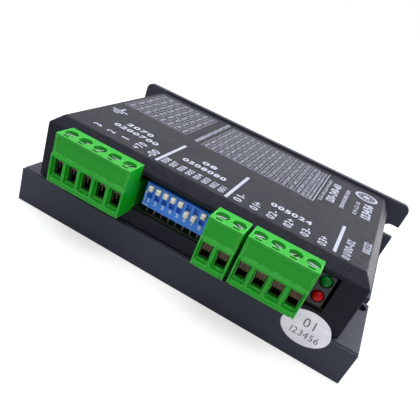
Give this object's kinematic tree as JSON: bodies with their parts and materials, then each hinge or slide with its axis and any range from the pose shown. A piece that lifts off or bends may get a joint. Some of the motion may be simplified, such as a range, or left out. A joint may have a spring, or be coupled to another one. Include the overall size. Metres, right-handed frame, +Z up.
{
  "type": "stepper driver module",
  "caption": "Three-phase stepper driver module: L-shaped black heatsink with a folded cover, pull-off green screw terminals, a DIP switch and status lamps.",
  "frame": {"origin": "centre of the heatsink's footprint on its underside", "axes": "+X along the length and the row of terminals, -Y out of the terminal side, +Z up from the wide leg to the cover's top"},
  "size_m": [0.118, 0.0842, 0.034],
  "materials": {
    "black_anodised_aluminium": "matt black anodised extrusion",
    "black_powder_coat": "fine wrinkle black powder coat on sheet",
    "plated_screw_steel": "bright zinc plate",
    "circuit_board": "green solder mask",
    "chip_black": "moulded epoxy",
    "grey_silicone": "soft silicone",
    "capacitor_sleeve": "shrink sleeve",
    "ferrite": "pressed ferrite",
    "resistor_black": "coated",
    "switch_blue": "moulded, slight gloss",
    "tinned_pins": "tin plate",
    "slider_cream": "moulded",
    "holder_black": "moulded",
    "lamp_green": "tinted clear resin",
    "lamp_red": "tinted clear resin",
    "silver_foil": "crumpled satin foil",
    "terminal_green": "moulded, satin gloss",
    "contact_tin": "tin plate",
    "terminal_screw": "bright nickel plate",
    "clamp_metal": "nickel plate"
  },
  "bodies": {
    "chassis": {"heatsink": "black_anodised_aluminium", "cover": "black_powder_coat", "cover_screws": "plated_screw_steel", "main_board": "circuit_board", "board_standoffs": "plated_screw_steel", "board_screws": "plated_screw_steel", "power_transistors": "chip_black", "thermal_pad": "grey_silicone", "bus_capacitors": "capacitor_sleeve", "filter_inductor": "ferrite", "control_chip": "chip_black", "optocouplers": "chip_black", "shunt_resistors": "resistor_black", "dip_body": "switch_blue", "dip_pins": "tinned_pins", "lamp_holder": "holder_black", "lamp_green": "lamp_green", "lamp_red": "lamp_red", "header_pins": "tinned_pins", "foil_seal": "silver_foil", "motor_header": "terminal_green", "enable_header": "terminal_green", "pulse_header": "terminal_green"},
    "motor_plug": {"motor_plug": "terminal_green", "motor_contacts": "contact_tin"},
    "motor_screw_1": {"motor_screw_1": "terminal_screw"},
    "motor_clamp_1": {"motor_clamp_1": "clamp_metal"},
    "motor_screw_2": {"motor_screw_2": "terminal_screw"},
    "motor_clamp_2": {"motor_clamp_2": "clamp_metal"},
    "motor_screw_3": {"motor_screw_3": "terminal_screw"},
    "motor_clamp_3": {"motor_clamp_3": "clamp_metal"},
    "motor_screw_4": {"motor_screw_4": "terminal_screw"},
    "motor_clamp_4": {"motor_clamp_4": "clamp_metal"},
    "motor_screw_5": {"motor_screw_5": "terminal_screw"},
    "motor_clamp_5": {"motor_clamp_5": "clamp_metal"},
    "enable_plug": {"enable_plug": "terminal_green", "enable_contacts": "contact_tin"},
    "enable_screw_1": {"enable_screw_1": "terminal_screw"},
    "enable_clamp_1": {"enable_clamp_1": "clamp_metal"},
    "enable_screw_2": {"enable_screw_2": "terminal_screw"},
    "enable_clamp_2": {"enable_clamp_2": "clamp_metal"},
    "pulse_plug": {"pulse_plug": "terminal_green", "pulse_contacts": "contact_tin"},
    "pulse_screw_1": {"pulse_screw_1": "terminal_screw"},
    "pulse_clamp_1": {"pulse_clamp_1": "clamp_metal"},
    "pulse_screw_2": {"pulse_screw_2": "terminal_screw"},
    "pulse_clamp_2": {"pulse_clamp_2": "clamp_metal"},
    "pulse_screw_3": {"pulse_screw_3": "terminal_screw"},
    "pulse_clamp_3": {"pulse_clamp_3": "clamp_metal"},
    "pulse_screw_4": {"pulse_screw_4": "terminal_screw"},
    "pulse_clamp_4": {"pulse_clamp_4": "clamp_metal"},
    "dip_slider_1": {"dip_slider_1": "slider_cream"},
    "dip_slider_2": {"dip_slider_2": "slider_cream"},
    "dip_slider_3": {"dip_slider_3": "slider_cream"},
    "dip_slider_4": {"dip_slider_4": "slider_cream"},
    "dip_slider_5": {"dip_slider_5": "slider_cream"},
    "dip_slider_6": {"dip_slider_6": "slider_cream"},
    "dip_slider_7": {"dip_slider_7": "slider_cream"},
    "dip_slider_8": {"dip_slider_8": "slider_cream"}
  },
  "joints": [
    {"name": "motor_plug_pull", "type": "slide", "parent": "chassis", "child": "motor_plug", "axis": [0, -1, 0], "range_m": [0, 0.012]},
    {"name": "motor_screw_1_turn", "type": "hinge", "parent": "motor_plug", "child": "motor_screw_1", "pos_m": [-0.04161, -0.0407, 0.0292], "axis": [0, 0, -1], "range_deg": [0, 1620]},
    {"name": "motor_clamp_1_lift", "type": "slide", "parent": "motor_plug", "child": "motor_clamp_1", "axis": [0, 0, 1], "range_m": [0, 0.00225]},
    {"name": "motor_screw_2_turn", "type": "hinge", "parent": "motor_plug", "child": "motor_screw_2", "pos_m": [-0.03653, -0.0407, 0.0292], "axis": [0, 0, -1], "range_deg": [0, 1620]},
    {"name": "motor_clamp_2_lift", "type": "slide", "parent": "motor_plug", "child": "motor_clamp_2", "axis": [0, 0, 1], "range_m": [0, 0.00225]},
    {"name": "motor_screw_3_turn", "type": "hinge", "parent": "motor_plug", "child": "motor_screw_3", "pos_m": [-0.03145, -0.0407, 0.0292], "axis": [0, 0, -1], "range_deg": [0, 1620]},
    {"name": "motor_clamp_3_lift", "type": "slide", "parent": "motor_plug", "child": "motor_clamp_3", "axis": [0, 0, 1], "range_m": [0, 0.00225]},
    {"name": "motor_screw_4_turn", "type": "hinge", "parent": "motor_plug", "child": "motor_screw_4", "pos_m": [-0.02637, -0.0407, 0.0292], "axis": [0, 0, -1], "range_deg": [0, 1620]},
    {"name": "motor_clamp_4_lift", "type": "slide", "parent": "motor_plug", "child": "motor_clamp_4", "axis": [0, 0, 1], "range_m": [0, 0.00225]},
    {"name": "motor_screw_5_turn", "type": "hinge", "parent": "motor_plug", "child": "motor_screw_5", "pos_m": [-0.02129, -0.0407, 0.0292], "axis": [0, 0, -1], "range_deg": [0, 1620]},
    {"name": "motor_clamp_5_lift", "type": "slide", "parent": "motor_plug", "child": "motor_clamp_5", "axis": [0, 0, 1], "range_m": [0, 0.00225]},
    {"name": "enable_plug_pull", "type": "slide", "parent": "chassis", "child": "enable_plug", "axis": [0, -1, 0], "range_m": [-0.0011, 0.012]},
    {"name": "enable_screw_1_turn", "type": "hinge", "parent": "enable_plug", "child": "enable_screw_1", "pos_m": [0.00929, -0.0418, 0.0292], "axis": [0, 0, -1], "range_deg": [0, 1620]},
    {"name": "enable_clamp_1_lift", "type": "slide", "parent": "enable_plug", "child": "enable_clamp_1", "axis": [0, 0, 1], "range_m": [0, 0.00225]},
    {"name": "enable_screw_2_turn", "type": "hinge", "parent": "enable_plug", "child": "enable_screw_2", "pos_m": [0.01437, -0.0418, 0.0292], "axis": [0, 0, -1], "range_deg": [0, 1620]},
    {"name": "enable_clamp_2_lift", "type": "slide", "parent": "enable_plug", "child": "enable_clamp_2", "axis": [0, 0, 1], "range_m": [0, 0.00225]},
    {"name": "pulse_plug_pull", "type": "slide", "parent": "chassis", "child": "pulse_plug", "axis": [0, -1, 0], "range_m": [-0.0006, 0.012]},
    {"name": "pulse_screw_1_turn", "type": "hinge", "parent": "pulse_plug", "child": "pulse_screw_1", "pos_m": [0.02059, -0.0413, 0.0292], "axis": [0, 0, -1], "range_deg": [0, 1620]},
    {"name": "pulse_clamp_1_lift", "type": "slide", "parent": "pulse_plug", "child": "pulse_clamp_1", "axis": [0, 0, 1], "range_m": [0, 0.00225]},
    {"name": "pulse_screw_2_turn", "type": "hinge", "parent": "pulse_plug", "child": "pulse_screw_2", "pos_m": [0.02567, -0.0413, 0.0292], "axis": [0, 0, -1], "range_deg": [0, 1620]},
    {"name": "pulse_clamp_2_lift", "type": "slide", "parent": "pulse_plug", "child": "pulse_clamp_2", "axis": [0, 0, 1], "range_m": [0, 0.00225]},
    {"name": "pulse_screw_3_turn", "type": "hinge", "parent": "pulse_plug", "child": "pulse_screw_3", "pos_m": [0.03075, -0.0413, 0.0292], "axis": [0, 0, -1], "range_deg": [0, 1620]},
    {"name": "pulse_clamp_3_lift", "type": "slide", "parent": "pulse_plug", "child": "pulse_clamp_3", "axis": [0, 0, 1], "range_m": [0, 0.00225]},
    {"name": "pulse_screw_4_turn", "type": "hinge", "parent": "pulse_plug", "child": "pulse_screw_4", "pos_m": [0.03583, -0.0413, 0.0292], "axis": [0, 0, -1], "range_deg": [0, 1620]},
    {"name": "pulse_clamp_4_lift", "type": "slide", "parent": "pulse_plug", "child": "pulse_clamp_4", "axis": [0, 0, 1], "range_m": [0, 0.00225]},
    {"name": "dip_slider_1_slide", "type": "slide", "parent": "chassis", "child": "dip_slider_1", "axis": [0, 0, -1], "range_m": [0, 0.0022]},
    {"name": "dip_slider_2_slide", "type": "slide", "parent": "chassis", "child": "dip_slider_2", "axis": [0, 0, -1], "range_m": [0, 0.0022]},
    {"name": "dip_slider_3_slide", "type": "slide", "parent": "chassis", "child": "dip_slider_3", "axis": [0, 0, -1], "range_m": [0, 0.0022]},
    {"name": "dip_slider_4_slide", "type": "slide", "parent": "chassis", "child": "dip_slider_4", "axis": [0, 0, -1], "range_m": [0, 0.0022]},
    {"name": "dip_slider_5_slide", "type": "slide", "parent": "chassis", "child": "dip_slider_5", "axis": [0, 0, -1], "range_m": [0, 0.0022]},
    {"name": "dip_slider_6_slide", "type": "slide", "parent": "chassis", "child": "dip_slider_6", "axis": [0, 0, -1], "range_m": [-0.0022, 0]},
    {"name": "dip_slider_7_slide", "type": "slide", "parent": "chassis", "child": "dip_slider_7", "axis": [0, 0, -1], "range_m": [-0.0022, 0]},
    {"name": "dip_slider_8_slide", "type": "slide", "parent": "chassis", "child": "dip_slider_8", "axis": [0, 0, -1], "range_m": [0, 0.0022]}
  ],
  "couplings": [
    {"joint": "motor_screw_1_turn", "follows": "motor_clamp_1_lift", "rad_per_m": 12566},
    {"joint": "motor_screw_2_turn", "follows": "motor_clamp_2_lift", "rad_per_m": 12566},
    {"joint": "motor_screw_3_turn", "follows": "motor_clamp_3_lift", "rad_per_m": 12566},
    {"joint": "motor_screw_4_turn", "follows": "motor_clamp_4_lift", "rad_per_m": 12566},
    {"joint": "motor_screw_5_turn", "follows": "motor_clamp_5_lift", "rad_per_m": 12566},
    {"joint": "enable_screw_1_turn", "follows": "enable_clamp_1_lift", "rad_per_m": 12566},
    {"joint": "enable_screw_2_turn", "follows": "enable_clamp_2_lift", "rad_per_m": 12566},
    {"joint": "pulse_screw_1_turn", "follows": "pulse_clamp_1_lift", "rad_per_m": 12566},
    {"joint": "pulse_screw_2_turn", "follows": "pulse_clamp_2_lift", "rad_per_m": 12566},
    {"joint": "pulse_screw_3_turn", "follows": "pulse_clamp_3_lift", "rad_per_m": 12566},
    {"joint": "pulse_screw_4_turn", "follows": "pulse_clamp_4_lift", "rad_per_m": 12566}
  ]
}
